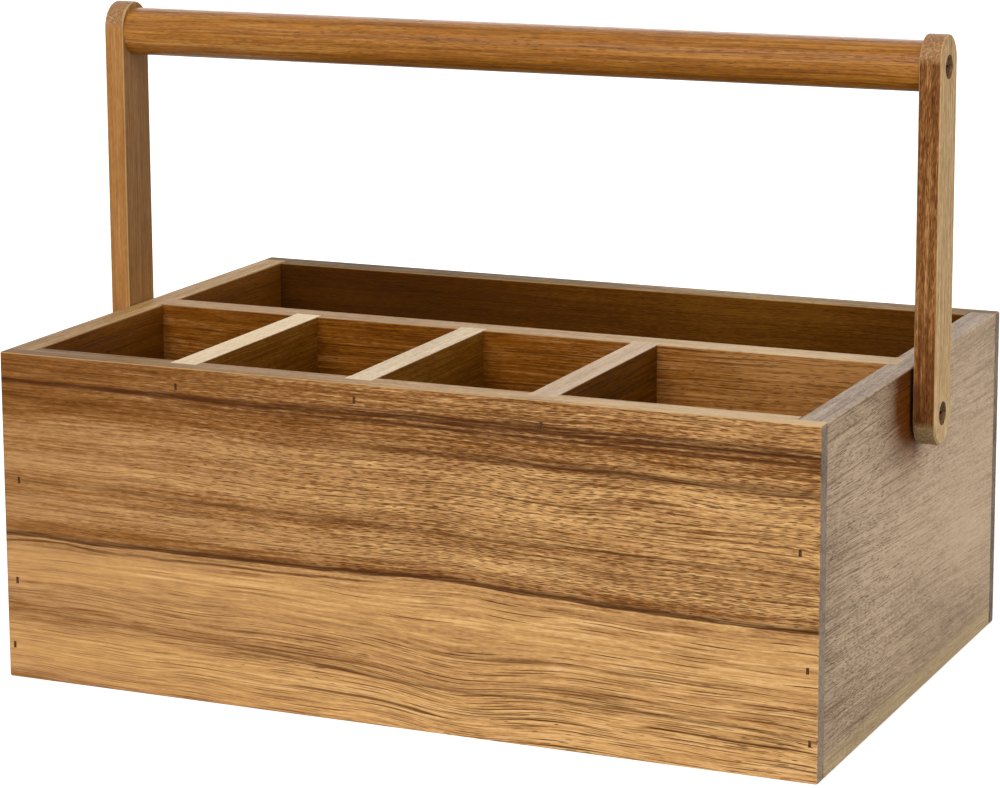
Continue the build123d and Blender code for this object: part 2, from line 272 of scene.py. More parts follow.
# The length and width of the patches of each kind, in millimetres, and the noise's detail and
# roughness.
patch_sizes = {
    "Bands": (420.0, start["Band Width"], 3.0, 0.6),
    "Fibres": (34.0, start["Fibre Width"], 2.0, 0.6),
    "Flecks": (2.8, 0.42, 1.0, 0.5),
    "Shimmer": (6.0, 2.4, 3.0, 0.6),
    "Clouds": (75.0, 30.0, 2.0, 0.5),
    "Lines": (110.0, 1.1, 2.0, 0.5),
}
line_begins, line_whole = 0.58, 0.68
for kind, sizes in patch_sizes.items():
    patches = stretched_noise(wood_tone, start["Grain"], *sizes)
    if kind == "Lines":
        patches = mapped(wood_tone, patches, line_begins, line_whole)
    wood_tone.links.new(patches, end[kind])

# A painted highlight on the eased edges of a board. The eased edges are the only places where
# the surface faces between two of the board's own directions.
painted_edge_highlight, start, end = new_group("painted_edge_highlight", {"Facing": "Vector"}, {"Highlight": "Float"})
turned = shader_node(painted_edge_highlight, "VectorMath", {0: start["Facing"]}, operation="ABSOLUTE")
sides = shader_node(painted_edge_highlight, "SeparateXYZ", {0: turned.outputs[0]}).outputs
squarest = maths(painted_edge_highlight, "MAXIMUM", maths(painted_edge_highlight, "MAXIMUM", sides[0], sides[1]), sides[2])
nearly_square, slanted = 0.97, 0.8
painted_edge_highlight.links.new(mapped(painted_edge_highlight, squarest, nearly_square, slanted), end["Highlight"])


def millimetres_from(tree, axes, origin=(0.0, 0.0, 0.0)):
    """The place of a point in its board, in millimetres along, across and through the grain."""
    here = shader_node(tree, "TexCoord")
    split = shader_node(tree, "SeparateXYZ", {0: here.outputs["Object"]})
    places = []
    for axis, start_at in zip(axes, origin):
        number = split.outputs["XYZ".index(axis)]
        places.append(maths(tree, "MULTIPLY_ADD", number, 1 / millimetre, -start_at / millimetre))
    return places


def facing(tree):
    """The direction that the surface faces, in the piece's own directions."""
    return shader_node(tree, "TexCoord").outputs["Normal"]


def facing_along(tree, axis, sign=0, begins=0.6, whole=0.9):
    """1 where the surface faces along an axis of the piece, either way or only one way."""
    side = shader_node(tree, "SeparateXYZ", {0: facing(tree)}).outputs["XYZ".index(axis)]
    if sign == 0:
        side = maths(tree, "ABSOLUTE", side)
    elif sign < 0:
        side = maths(tree, "MULTIPLY", side, -1.0)
    return mapped(tree, side, begins, whole)


def edge_highlight_mask(tree):
    """1 on the eased edges of a board, where a highlight is painted."""
    return use_group(tree, painted_edge_highlight, {"Facing": facing(tree)})["Highlight"]


def grain_light(tree, tones, middle, **sizes):
    """How light the wood is: a middle, and for each kind of tone a swing of its own size."""
    light = middle
    for kind, size in sizes.items():
        light = swing(tree, tones[kind.title()], size, light)
    return light


def ramp(tree, value, stops):
    """A colour between named tones, each at its place from 0 to 1."""
    made = shader_node(tree, "ValToRGB", {0: value})
    elements = made.color_ramp.elements
    while len(elements) < len(stops):
        elements.new(0.5)
    for element, (place, colour) in zip(elements, stops):
        element.position = place
        element.color = colour
    return made.outputs["Color"]


def blended(tree, share, first, second, mode="MIX"):
    """Two colours mixed."""
    # A Mix node has sockets for each kind of data; these are the ones for colours.
    share_socket, first_socket, second_socket, mixed_socket = 0, 6, 7, 2
    sockets = {share_socket: share, first_socket: first, second_socket: second}
    made = shader_node(tree, "Mix", sockets, data_type="RGBA", blend_type=mode)
    return made.outputs[mixed_socket]


def curve(tree, value, span, points):
    """A smooth line through a few points, over a span of millimetres; its heights are 0 to 1."""
    share = maths(tree, "DIVIDE", value, span)
    made = shader_node(tree, "FloatCurve", {"Value": share})
    line = made.mapping.curves[0]
    while len(line.points) < len(points):
        line.points.new(0.5, 0.5)
    for point, (place, height) in zip(line.points, points):
        point.location = (place / span, height)
    made.mapping.update()
    return made.outputs[0]


def grain_line(tree, here, plank, route, thickness, above, below, strength, seen=None):
    """A dark line of the grain, by millimetres along and up, fading so far above and below it.

    seen says between which places along the plank it comes or goes, and from how much to how much.
    """
    along, height = here
    length, span = plank
    shares = [(x, z / span) for x, z in route]
    middle = maths(tree, "MULTIPLY", curve(tree, along, length, shares), span)
    over = maths(tree, "SUBTRACT", height, middle)
    upper = mapped(tree, over, thickness / 2 + above, thickness / 2)
    lower = mapped(tree, over, -thickness / 2 - below, -thickness / 2)
    line = maths(tree, "MULTIPLY", maths(tree, "MULTIPLY", upper, lower), strength)
    return maths(tree, "MULTIPLY", line, mapped(tree, along, *seen)) if seen else line


def spot(tree, first, second, place, radii, strength):
    """A soft round patch about a place, by two of a point's measures."""
    near = []
    for value, middle, radius in zip((first, second), place, radii):
        step = maths(tree, "DIVIDE", maths(tree, "SUBTRACT", value, middle), radius)
        near.append(maths(tree, "MULTIPLY", step, step))
    far = maths(tree, "MULTIPLY", maths(tree, "ADD", near[0], near[1]), -1.0)
    return maths(tree, "MULTIPLY", maths(tree, "EXPONENT", far), strength)


def soft_band(tree, value, middle, half_width, strength):
    """A soft band about one value of one of a point's measures."""
    return spot(tree, value, 0.0, (middle, 0.0), (half_width, 1.0), strength)


def wood_surface(tree, colour, tones, marks, rough, ior):
    """The oiled surface of a board, with its dark marks as open pores in it.

    rough holds its roughness between the fibres and on them.
    """
    pore_depth = 0.1 * millimetre
    roughness = mapped(tree, tones["Fibres"], 0.2, 0.8, *rough)
    height = maths(tree, "MULTIPLY_ADD", marks, -1.0, tones["Fibres"])
    bump = shader_node(tree, "Bump", {"Strength": 1.0, "Distance": pore_depth, "Height": height})
    sockets = {"Base Color": colour, "Roughness": roughness, "IOR": ior, "Normal": bump.outputs[0]}
    wood = shader_node(tree, "BsdfPrincipled", sockets)
    shader_node(tree, "OutputMaterial", {"Surface": wood.outputs[0]})


def empty_material(name):
    """A new material with nothing in it, and its node tree."""
    made = bpy.data.materials.new(name)
    made.use_nodes = True
    made.node_tree.nodes.clear()
    return made, made.node_tree


def finish_node(node, material):
    """Gives a CAD node its material."""
    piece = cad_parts[node]
    piece.data.materials.clear()
    piece.data.materials.append(material)


heart = tone(70, 36, 6)
umber = tone(114, 68, 24)
nut = tone(144, 96, 49)
tan = tone(175, 130, 83)
honey = tone(200, 153, 94)
straw = tone(222, 178, 122)
acacia = [(0.0, heart), (0.22, umber), (0.42, nut), (0.6, tan), (0.8, honey), (1.0, straw)]
pore_brown = tone(92, 53, 20)
line_brown = tone(70, 34, 7)
top_tones = three_tones((96, 64, 30), (166, 128, 84), (214, 178, 130))
end_tones = three_tones((72, 58, 46), (122, 106, 91), (160, 140, 120))

front_low, front_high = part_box("front_panel")
plank_length = (front_high.x - front_low.x) / millimetre
plank_height = (front_high.z - front_low.z) / millimetre

front_wood, tree = empty_material("front_board_acacia")
along, height_up, through = millimetres_from(tree, "XZY", (front_low.x, 0.0, 0.0))
# How far a grain line sinks from the left end to the right, by its height: more below.
deepest_sink = 10.0
sink_curve = [(0, 0.75), (30, 0.8), (58, 0.3), (76, 0.5), (118, 0.15), (129, 0.1)]
sink = maths(tree, "MULTIPLY", curve(tree, height_up, plank_height, sink_curve), deepest_sink)
sunk = maths(tree, "MULTIPLY", sink, maths(tree, "DIVIDE", along, plank_length))
# The lines part round a small knot that stayed inside the plank. The curve is 0.5 where a line
# runs straight on, less where it dips and more where it rises, by 5 mm at most.
knot_place, knot_reach = 191.0, 24.0
bulge_range = 10.0
knot_near = soft_band(tree, along, knot_place, knot_reach, 1.0)
bulge_curve = [(0, 0.3), (24, 0.12), (40, 0.5), (59, 0.66), (76, 0.56), (100, 0.5), (129, 0.5)]
bulge = swing(tree, curve(tree, height_up, plank_height, bulge_curve), bulge_range, 0.0)
bulged = maths(tree, "MULTIPLY", bulge, knot_near)
level = maths(tree, "SUBTRACT", maths(tree, "ADD", height_up, sunk), bulged)
waves = {"Seed": 0.37, "Wave Height": 3.0, "Wave Length": 60.0}
grain = use_group(tree, grain_place, {"Place": joined(tree, along, level, through), **waves})["Grain"]
tones = use_group(tree, wood_tone, {"Grain": grain, "Band Width": 4.0, "Fibre Width": 0.8})
# The plank's bands, each by its height, its half width and how much lighter or darker it is.
plank_bands = [
    (125.0, 5.0, -0.2),
    (118.0, 2.5, -0.06),
    (112.0, 7.0, -0.2),
    (77.0, 3.5, -0.11),
    (61.5, 3.5, -0.11),
    (46.0, 9.0, 0.15),
    (29.0, 3.0, -0.05),
    (14.0, 10.0, 0.2),
    (0.0, 2.5, -0.1),
]
zone = 0.59
for middle, half_width, change in plank_bands:
    zone = maths(tree, "ADD", zone, soft_band(tree, level, middle, half_width, change))
# The plank is a little lighter towards its right end, above all in its upper part.
zone = maths(tree, "ADD", zone, mapped(tree, along, 0.0, 300.0, -0.05, 0.115))
to_the_right = mapped(tree, along, 0.0, 220.0, -0.1, 0.04)
zone = maths(tree, "MULTIPLY_ADD", to_the_right, mapped(tree, height_up, 90.0, 120.0), zone)
cloud = spot(tree, along, height_up, (184.0, 84.0), (9.0, 18.0), -0.08)
pale_patch = spot(tree, along, height_up, (208.0, 66.0), (14.0, 3.0), 0.16)
wide_patch = spot(tree, along, height_up, (214.0, 90.0), (26.0, 11.0), 0.09)
dark_corner = spot(tree, along, height_up, (300.0, 113.0), (80.0, 6.0), -0.1)
gold_shade = spot(tree, along, height_up, (290.0, 45.0), (60.0, 8.0), -0.07)
for patch in (cloud, pale_patch, wide_patch, dark_corner, gold_shade):
    zone = maths(tree, "ADD", zone, patch)
# Its grain shows more towards the right end too, and its flecks show most in the upper part.
band_size = mapped(tree, along, 100.0, 260.0, 0.45, 0.7)
fibre_size = mapped(tree, along, 0.0, 230.0, 0.55, 1.15)
fleck_size = mapped(tree, along, 0.0, 200.0, 0.25, 0.85)
fleck_size = maths(tree, "MULTIPLY", fleck_size, mapped(tree, level, 52.0, 66.0, 0.5, 1.0))
light_sizes = {"bands": band_size, "fibres": fibre_size, "flecks": fleck_size, "shimmer": 0.22}
light = grain_light(tree, tones, zone, **light_sizes)
wood_colour = ramp(tree, light, acacia)

# Pores lie thick in the upper part of the plank, and most of all to the right.
pore_curve = [(0, 0.2), (34, 0.25), (42, 0.1), (56, 0.12), (62, 0.8), (104, 0.9), (129, 0.7)]
pore_share = curve(tree, level, plank_height, pore_curve)
pore_density = maths(tree, "MULTIPLY", pore_share, mapped(tree, along, 20.0, 190.0, 0.4, 1.15))
pore_density = maths(tree, "MULTIPLY", pore_density, mapped(tree, tones["Clouds"], 0.36, 0.6, 0.6, 1.3))
pore_room = {"Length": 6.5, "Width": 0.72, "Thickness": 0.4, "Density": pore_density}
pores = use_group(tree, wood_dashes, {"Grain": grain, **pore_room})["Dashes"]
pore_mark = maths(tree, "MULTIPLY", pores, mapped(tree, along, 20.0, 160.0, 0.65, 1.0))
# Long thin streaks, which show most in the lower part.
streak_curve = [(0, 0.95), (12, 0.8), (24, 0.98), (36, 0.9), (42, 0.45), (56, 0.45), (129, 0.55)]
streak_density = curve(tree, level, plank_height, streak_curve)
streak_room = {"Length": 36.0, "Width": 1.0, "Thickness": 0.42, "Density": streak_density}
streaks = use_group(tree, wood_dashes, {"Grain": grain, **streak_room})["Dashes"]
streak_mark = maths(tree, "MULTIPLY", streaks, mapped(tree, along, 0.0, 200.0, 0.45, 1.0))
# The dark lines that show from afar, by their places along and up the plank. They wander by
# about a millimetre.
line_wander = stretched_noise(tree, joined(tree, along, height_up, through), 22.0, 9.0, 2.0)
line_here = (along, swing(tree, line_wander, 2.4, height_up))
plank = (plank_length, plank_height)
main_route = [(0, 57.6), (40, 57), (90, 57.6), (150, 58), (186, 59), (215, 57.6), (260, 56), (330, 55)]
second_route = [(0, 54.8), (28, 55.2), (46, 54), (90, 54.3), (130, 54.3)]
second_route += [(165, 56), (190, 59), (330, 54)]
upper_route = [(0, 118.3), (40, 118), (100, 117.6), (180, 117.8), (240, 117.6), (330, 116.6)]
# Past the plank's first third, two thinner lines run beside the upper one.
under_route = [(x, z - 2.6) for x, z in upper_route]
over_route = [(x, z + 1.9) for x, z in upper_route]
orange_route = [(0, 107), (100, 106), (200, 105), (330, 103.5)]
faint_route = [(0, 79), (60, 78.5), (110, 77), (200, 76), (330, 73.4)]
lower_route = [(0, 27), (60, 25), (120, 22), (190, 17), (240, 18.5), (330, 15)]
main_line = {"thickness": 1.0, "above": 1.8, "below": 0.4, "strength": 0.95}
second_line = {"thickness": 0.4, "above": 0.6, "below": 0.3, "strength": 0.7}
upper_line = {"thickness": 1.1, "above": 1.2, "below": 0.9, "strength": 0.95}
beside_line = {"thickness": 0.6, "above": 1.0, "below": 0.7, "strength": 0.85}
orange_line = {"thickness": 0.9, "above": 2.5, "below": 0.8, "strength": 0.75}
faint_line = {"thickness": 0.4, "above": 1.5, "below": 0.4, "strength": 0.45}
lower_line = {"thickness": 0.4, "above": 1.2, "below": 0.3, "strength": 0.65}
plank_lines = [
    (main_route, main_line, None),
    (second_route, second_line, (130.0, 190.0, 1.0, 0.0)),
    (upper_route, upper_line, None),
    (under_route, beside_line, (60.0, 140.0)),
    (over_route, beside_line, (110.0, 190.0)),
    (orange_route, orange_line, (110.0, 210.0)),
    (faint_route, faint_line, None),
    (lower_route, lower_line, (40.0, 160.0, 0.45, 1.0)),
]
lines = 0.0
for route, look, seen in plank_lines:
    lines = maths(tree, "MAXIMUM", lines, grain_line(tree, line_here, plank, route, **look, seen=seen))
lines = maths(tree, "MULTIPLY", lines, mapped(tree, tones["Fibres"], 0.4, 0.65, 1.0, 0.75))
# Hair-thin lines run on and on, close together in the lowest third.
hair_curve = [(0, 1.0), (32, 1.0), (42, 0.35), (54, 0.3), (62, 0.7), (129, 0.65)]
hair_share = curve(tree, level, plank_height, hair_curve)
hair_share = maths(tree, "MULTIPLY", hair_share, mapped(tree, along, 20.0, 220.0, 0.35, 1.0))
hair_mark = maths(tree, "MULTIPLY", tones["Lines"], hair_share)
marks = maths(tree, "MAXIMUM", maths(tree, "MAXIMUM", streak_mark, pore_mark), hair_mark)
wood_colour = blended(tree, marks, wood_colour, pore_brown)
wood_colour = blended(tree, lines, wood_colour, line_brown)
dark = maths(tree, "MAXIMUM", lines, marks)

top_light = maths(tree, "ADD", light, mapped(tree, along, 0.0, 330.0, -0.22, 0.3))
wood_colour = blended(tree, facing_along(tree, "Z", 1), wood_colour, ramp(tree, top_light, top_tones))
wood_colour = blended(tree, facing_along(tree, "X"), wood_colour, ramp(tree, light, end_tones))
# A painted highlight on the plank's eased top edge.
upper_edge_highlight = maths(tree, "MULTIPLY", edge_highlight_mask(tree), facing_along(tree, "Z", 1, 0.2, 0.5))
wood_colour = blended(tree, maths(tree, "MULTIPLY", upper_edge_highlight, 0.5), wood_colour, tone(226, 186, 132))
wood_surface(tree, wood_colour, tones, dark, rough=(0.6, 0.45), ior=1.15)
finish_node("front_panel", front_wood)

# ---- Back board ----
# The plank opposite the front one: acacia, 12 mm thick, nailed through its ends in the same way.
# Its inner face takes darker, plainer tones: painted shade inside the box.


def acacia_board(
    name, axes, seed, light, stops, *, middle=(0.0, 0.0, 0.0), radius=None, bands=0.5, band_width=7.0,
    clouds=0.2, fibres=1.0, pores=0.6, density=0.6, lines=0.4, spots=(), faces=(), ends=None,
    edge_highlight_share=0.35, edge=None, rough=0.55, ior=1.25,
):
    """The finish of a planed board. light is how light it is, from 0 to 1, on the tones in stops.

    axes says which way its grain runs. spots holds places that are darker or lighter, faces the
    sides that look different: an axis, a sign, their own tones and how lively their grain is.
    ends holds the tones of the end grain, and edge the tone of the painted highlight on its eased
    edges. A turned piece has its middle and its radius, and is measured round its surface.
    """
    made, tree = empty_material(name)
    along, across, through = millimetres_from(tree, axes, middle)
    if radius:
        across = maths(tree, "MULTIPLY", maths(tree, "ARCTAN2", across, through), radius)
        through = 0.0
    waves = {"Seed": seed, "Wave Height": 3.0, "Wave Length": 60.0}
    grain = use_group(tree, grain_place, {"Place": joined(tree, along, across, through), **waves})["Grain"]
    widths = {"Grain": grain, "Band Width": band_width, "Fibre Width": 0.8}
    tones = use_group(tree, wood_tone, widths)
    level = grain_light(tree, tones, light, bands=bands, clouds=clouds, shimmer=0.25, flecks=0.4)
    for place, radii, change in spots:
        level = maths(tree, "ADD", level, spot(tree, along, across, place, radii, change))
    pore_room = {"Length": 5.5, "Width": 0.85, "Thickness": 0.46, "Density": density}
    marks = use_group(tree, wood_dashes, {"Grain": grain, **pore_room})["Dashes"]
    marks = maths(tree, "MAXIMUM", marks, maths(tree, "MULTIPLY", tones["Lines"], lines))

    def face_colour(face_stops, lively):
        fine = swing(tree, tones["Fibres"], fibres * lively, level)
        mark = maths(tree, "MULTIPLY", marks, pores * lively)
        return blended(tree, mark, ramp(tree, fine, face_stops), face_stops[0][1])

    colour = face_colour(stops, 1.0)
    for axis, sign, face_stops, lively in faces:
        colour = blended(tree, facing_along(tree, axis, sign), colour, face_colour(face_stops, lively))
    if ends:
        colour = blended(tree, facing_along(tree, axes[0]), colour, face_colour(ends, 1.0))
    # A painted highlight on the eased edges.
    edge_highlight = maths(tree, "MULTIPLY", edge_highlight_mask(tree), edge_highlight_share)
    colour = blended(tree, edge_highlight, colour, edge or stops[-1][1])
    wood_surface(tree, colour, tones, marks, (rough + 0.06, rough - 0.06), ior)
    return made


back_outside = three_tones((96, 56, 22), (160, 114, 62), (206, 160, 100))
# The darker tones of faces inside the box are painted shade.
inside_painted_shade = three_tones((44, 20, 1), (84, 45, 2), (128, 80, 18))
dark_top = three_tones((60, 42, 20), (124, 94, 56), (184, 152, 106))
back_wood = acacia_board(
    "back_board_acacia", "XZY", 0.13, 0.5, back_outside,
    faces=(("Y", -1, inside_painted_shade, 0.3), ("Z", 1, dark_top, 1.0)), ends=end_tones,
    clouds=0.5, ior=1.14, rough=0.6, bands=0.8, band_width=9.0, lines=1.0, density=0.75,
    spots=(((-110.0, 110.0), (60.0, 60.0), -0.15), ((70.0, 115.0), (80.0, 30.0), 0.2)),
)
finish_node("back_panel", back_wood)

# ---- Side boards ----
# Two boards, 11 mm thick, let in between the front and back boards and nailed through them.
# The right one is flat sawn and greyer; its grey is partly its own and partly painted sheen.
side_outside = three_tones((104, 62, 26), (164, 118, 66), (206, 162, 104))
# The inner faces take darker tones: painted shade inside the box.
side_inside_painted_shade = three_tones((66, 32, 1), (112, 62, 6), (150, 98, 30))
tan_top = three_tones((112, 76, 34), (178, 138, 84), (220, 184, 128))
left_side_wood = acacia_board(
    "left_side_acacia", "YZX", 0.71, 0.5, side_outside,
    faces=(("X", 1, side_inside_painted_shade, 0.5), ("Z", 1, tan_top, 0.8)), clouds=0.4, ior=1.2,
    bands=0.8, band_width=8.0, lines=1.0, density=0.75, spots=(((-80.0, 110.0), (40.0, 60.0), -0.12),),
)
finish_node("left_side_panel", left_side_wood)

side_low, side_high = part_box("right_side_panel")
right_side_wood, tree = empty_material("right_side_acacia")
along, height_up, through = millimetres_from(tree, "YZX", (side_low.y, 0.0, 0.0))
side_length = (side_high.y - side_low.y) / millimetre
side_height = (side_high.z - side_low.z) / millimetre
# The grain lines spread a little: the upper ones rise to the back of the board, the others fall.
# The curve goes from 0, a line that rises by the first measure, to 1, one that falls by their sum.
rise_at_most, spread = 6.0, 22.0
fall_curve = [(0, 0.6), (25, 0.85), (60, 0.85), (90, 0.55), (115, 0.2), (129, 0.1)]
fall = maths(tree, "MULTIPLY_ADD", curve(tree, height_up, side_height, fall_curve), spread, -rise_at_most)
level = maths(tree, "MULTIPLY_ADD", maths(tree, "DIVIDE", along, side_length), fall, height_up)
waves = {"Seed": 0.23, "Wave Height": 3.0, "Wave Length": 90.0}
grain = use_group(tree, grain_place, {"Place": joined(tree, along, level, through), **waves})["Grain"]
tones = use_group(tree, wood_tone, {"Grain": grain, "Band Width": 5.0, "Fibre Width": 0.7})
# Its grey tones are partly its own colour and partly painted sheen.
grey_tan = three_tones((108, 87, 67), (190, 164, 135), (218, 193, 161))
light_sizes = {"bands": 0.32, "clouds": 0.35, "fibres": 0.6, "flecks": 0.5, "shimmer": 0.3}
light = grain_light(tree, tones, 0.54, **light_sizes)
low_band = mapped(tree, height_up, 6.0, 40.0, -0.2, 0.0)
front_shade = mapped(tree, along, 0.0, 80.0, -0.2, 0.0)
upper_shade = mapped(tree, height_up, 80.0, 129.0, 0.0, -0.2)
shade = maths(tree, "MINIMUM", maths(tree, "MINIMUM", low_band, front_shade), upper_shade)
light = maths(tree, "ADD", light, shade)
wood_colour = ramp(tree, light, grey_tan)
pore_density = mapped(tree, tones["Clouds"], 0.35, 0.6, 0.8, 0.4)
open_pores = spot(tree, along, height_up, (38.0, 30.0), (34.0, 20.0), 0.5)
pore_density = maths(tree, "ADD", pore_density, open_pores)
pore_room = {"Length": 5.0, "Width": 0.6, "Thickness": 0.3, "Density": pore_density}
pores = use_group(tree, wood_dashes, {"Grain": grain, **pore_room})["Dashes"]
streak_room = {"Length": 22.0, "Width": 1.2, "Thickness": 0.32, "Density": 0.75}
streaks = use_group(tree, wood_dashes, {"Grain": grain, **streak_room})["Dashes"]
pores = maths(tree, "MULTIPLY", pores, mapped(tree, along, 60.0, 170.0, 1.0, 0.35))
streaks = maths(tree, "MULTIPLY", streaks, mapped(tree, along, 50.0, 150.0, 0.8, 0.35))
pores = maths(tree, "MAXIMUM", pores, streaks)
hair_lines = maths(tree, "MULTIPLY", tones["Lines"], mapped(tree, along, 40.0, 160.0, 0.5, 0.15))
pores = maths(tree, "MAXIMUM", pores, hair_lines)
wood_colour = blended(tree, pores, wood_colour, tone(80, 54, 28))
pale_edge = mapped(tree, height_up, 9.0, 6.5, 0.0, 0.35)
wood_colour = blended(tree, pale_edge, wood_colour, tone(206, 182, 132))
# Painted shade and warm bounce light from the handle's arm: the board is darker and warmer in front of it.
ragged = swing(tree, tones["Bands"], 14.0, along)
painted_arm_shade = spot(tree, ragged, height_up, (100.0, 119.0), (25.0, 22.0), 1.8)
before_arm = mapped(tree, along, 118.0, 104.0, 0.2, 1.0)
painted_arm_shade = maths(tree, "MULTIPLY", maths(tree, "MINIMUM", painted_arm_shade, 1.0), before_arm)
wood_colour = blended(tree, painted_arm_shade, wood_colour, tone(140, 88, 24), "MULTIPLY")
# Its inner face takes the darker tones: painted shade inside the box.
wood_colour = blended(tree, facing_along(tree, "X", -1), wood_colour, ramp(tree, light, side_inside_painted_shade))
grey_top = three_tones((98, 78, 62), (184, 162, 140), (218, 196, 172))
wood_colour = blended(tree, facing_along(tree, "Z", 1), wood_colour, ramp(tree, light, grey_top))
# A painted highlight on the eased edges.
edge_highlight = maths(tree, "MULTIPLY", edge_highlight_mask(tree), 0.3)
wood_colour = blended(tree, edge_highlight, wood_colour, tone(208, 184, 154))
wood_surface(tree, wood_colour, tones, pores, rough=(0.6, 0.48), ior=1.12)
finish_node("right_side_panel", right_side_wood)

# ---- Bottom board ----
# A thin board, 5 mm thick, set into the underside of the box and nailed up into the dividers.
# It is plain acacia, oiled once.
bottom_tones = three_tones((76, 42, 10), (128, 84, 36), (172, 126, 70))
bottom_wood = acacia_board(
    "bottom_acacia", "XYZ", 0.47, 0.5, bottom_tones, bands=0.8, band_width=14.0, lines=0.7, ior=1.2
)
finish_node("bottom_panel", bottom_wood)

# ---- Long divider ----
# One board, 13 mm thick, from side board to side board; the short dividers end in its grooves.
# Its faces take dark, warm tones, painted shade of the pockets; its front face is the warmest.
warm_painted_shade = three_tones((74, 32, 2), (132, 76, 12), (186, 132, 76))
# The pale top tones are painted sheen.
long_top = three_tones((118, 80, 46), (184, 150, 112), (224, 194, 152))
long_wood = acacia_board(
    "long_divider_acacia", "XZY", 0.53, 0.54, warm_painted_shade,
    faces=(("Y", 1, inside_painted_shade, 0.6), ("Z", 1, long_top, 0.7)), clouds=0.5, ior=1.14, rough=0.62,
    fibres=1.1, lines=1.0,
    spots=(((125.0, 110.0), (60.0, 60.0), 0.36), ((-100.0, 110.0), (70.0, 60.0), -0.14)),
)
finish_node("long_divider", long_wood)

# ---- Short dividers ----
# Three boards, 11 mm thick, from the front board to the long divider, each let into both.
# Their tops are pale with painted sheen; their faces are dark with painted shade of the narrow pockets.
divider_painted_shade = three_tones((66, 34, 2), (114, 66, 6), (152, 104, 36))
# The pale top tones are painted sheen.
cream_top = three_tones((180, 144, 104), (236, 210, 172), (248, 230, 200))
ash_top = three_tones((138, 116, 98), (232, 208, 174), (246, 228, 200), middle_at=0.6)
brown_top = three_tones((176, 148, 118), (206, 178, 148), (240, 218, 192), middle_at=0.22)
dividers = [
    ("left_divider", 0.83, 0.56, cream_top),
    ("middle_divider", 0.94, 0.6, ash_top),
    ("right_divider", 0.64, 0.22, brown_top),
]
for node, seed, inside_light, top_of_divider in dividers:
    divider_wood = acacia_board(
        node + "_acacia", "YZX", seed, inside_light, divider_painted_shade,
        faces=(("Z", 1, top_of_divider, 0.5),), edge=top_of_divider[1][1], clouds=0.4,
        ior=1.14, rough=0.62,
    )
    finish_node(node, divider_wood)

# ---- Brads ----
# Thin headless nails, shot through the front and back boards and up through the bottom one.
# Their ends lie a little under the surface and are stained dark.
brad_iron, tree = empty_material("brad_iron")
stain = stretched_noise(tree, joined(tree, *millimetres_from(tree, "XYZ")), 0.7, 0.7, 3.0)
stained_iron = [(0.3, tone(66, 38, 14)), (0.55, tone(100, 64, 28)), (0.8, tone(140, 98, 54))]
brad_colour = ramp(tree, stain, stained_iron)
brad_rough = mapped(tree, stain, 0.3, 0.7, 0.75, 0.5)
brad_sockets = {"Base Color": brad_colour, "Roughness": brad_rough, "IOR": 1.2}
brad_end = shader_node(tree, "BsdfPrincipled", brad_sockets)
shader_node(tree, "OutputMaterial", {"Surface": brad_end.outputs[0]})
for node in ("front_corner_brads", "divider_end_brads", "back_corner_brads", "bottom_brads"):
    finish_node(node, brad_iron)

# ---- Spacers ----
# A black plastic washer on each pivot screw keeps the arm off the side board.
# It is moulded, with a fine spark-eroded surface.
spacer_plastic, tree = empty_material("spacer_plastic")
place = joined(tree, *millimetres_from(tree, "XYZ"))
grains = stretched_noise(tree, place, 0.25, 0.25, 2.0)
spacer_colour = ramp(tree, grains, [(0.3, tone(26, 25, 24)), (0.7, tone(44, 42, 40))])
grain_depth = 0.03 * millimetre
bump = shader_node(tree, "Bump", {"Strength": 0.6, "Distance": grain_depth, "Height": grains})
spacer_sockets = {"Base Color": spacer_colour, "Roughness": mapped(tree, grains, 0.3, 0.7, 0.6, 0.48)}
washer = shader_node(tree, "BsdfPrincipled", {**spacer_sockets, "Normal": bump.outputs[0]})
shader_node(tree, "OutputMaterial", {"Surface": washer.outputs[0]})
for node in ("left_pivot_spacer", "right_pivot_spacer"):
    finish_node(node, spacer_plastic)

# ---- Screws ----
# Round-headed wood screws with a cross recess: one holds each arm to the box and lets it turn,
# one holds each arm to the dowel. They are zinc plated; their dark brown is painted counterbore shade.
screw_zinc, tree = empty_material("screw_zinc")
place = joined(tree, *millimetres_from(tree, "XYZ"))
dull = stretched_noise(tree, place, 1.6, 1.6, 3.0, 0.6)
turned_marks = stretched_noise(tree, place, 0.3, 3.0, 1.0)
# Dark brown: painted shade of the counterbores the screws sit in.
dark_zinc_painted_shade = [(0.3, tone(44, 27, 11)), (0.55, tone(82, 55, 27)), (0.8, tone(128, 94, 55))]
mark_depth = 0.02 * millimetre
bump = shader_node(tree, "Bump", {"Strength": 0.5, "Distance": mark_depth, "Height": turned_marks})
zinc_rough = mapped(tree, dull, 0.3, 0.7, 0.62, 0.45)
zinc_sockets = {"Base Color": ramp(tree, dull, dark_zinc_painted_shade), "Roughness": zinc_rough, "Metallic": 0.7}
screw = shader_node(tree, "BsdfPrincipled", {**zinc_sockets, "Normal": bump.outputs[0]})
shader_node(tree, "OutputMaterial", {"Surface": screw.outputs[0]})
for node in ("left_pivot_screw", "right_pivot_screw", "left_dowel_screw", "right_dowel_screw"):
    finish_node(node, screw_zinc)

# ---- Handle arms ----
# Two flat bars of acacia, 8.5 mm thick, with round ends, bored and counterbored for their screws.
# The grain runs up the arm, so the round ends show speckled end grain.
red_edge = three_tones((66, 30, 8), (128, 80, 36), (188, 138, 86))
orange_edge = three_tones((104, 60, 24), (164, 113, 60), (200, 152, 96))
# An arm's outer face takes paler tones, painted sheen; its inner face darker ones, painted shade of the
# box beside it.
outer_face_painted_sheen = three_tones((124, 88, 44), (184, 148, 98), (222, 190, 142))
inner_face_painted_shade = three_tones((88, 50, 20), (148, 104, 56), (188, 148, 98))
pink_end = three_tones((104, 68, 36), (156, 114, 74), (202, 164, 124))
olive_end = three_tones((86, 68, 40), (136, 110, 74), (176, 150, 110))


